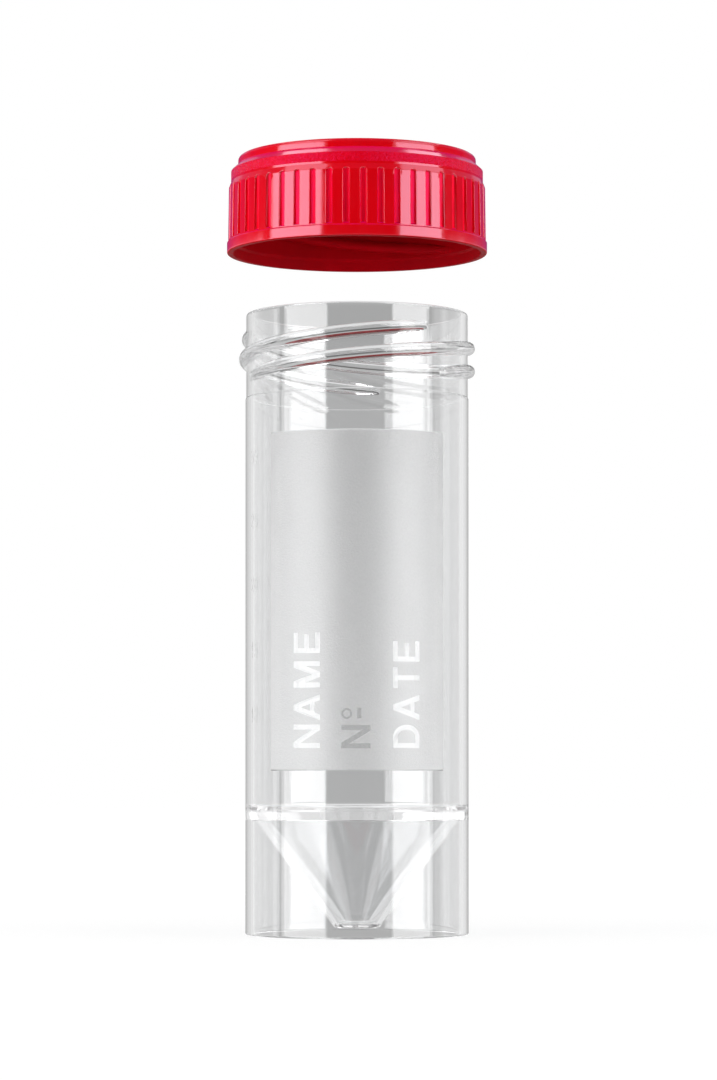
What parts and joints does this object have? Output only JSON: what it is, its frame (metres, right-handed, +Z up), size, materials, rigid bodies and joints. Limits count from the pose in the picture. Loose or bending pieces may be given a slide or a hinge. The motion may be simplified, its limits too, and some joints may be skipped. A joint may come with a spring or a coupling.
{
  "type": "specimen container",
  "caption": "Clear round specimen tube with a skirted cone bottom, writing panel and a red ribbed screw cap, shown lifted off its threaded neck.",
  "frame": {"origin": "middle of the foot ring, on the table", "axes": "+Z up along the tube's axis towards the cap; the writing panel faces -Y; +X to the right seen from the front"},
  "size_m": [0.035, 0.035, 0.1045],
  "materials": {
    "clear_polystyrene": "clear, polished, with a frosted writing panel",
    "red_polyethylene": "semi-gloss red, matt in the grooves and on the ledge",
    "white_foam": "matt expanded polyethylene"
  },
  "bodies": {
    "container": {"container": "clear_polystyrene"},
    "liner": {"liner": "white_foam"},
    "cap": {"cap": "red_polyethylene"}
  },
  "joints": [
    {"name": "cap_lift", "type": "slide", "parent": "container", "child": "liner", "axis": [0, 0, 1], "range_m": [-0.01845, 0]},
    {"name": "cap_turn", "type": "hinge", "parent": "liner", "child": "cap", "pos_m": [0, 0, 0.0915], "axis": [0, 0, 1], "range_deg": [-714, 0]}
  ],
  "couplings": [
    {"joint": "cap_lift", "follows": "cap_turn", "m_per_rad": 0.0014801}
  ]
}
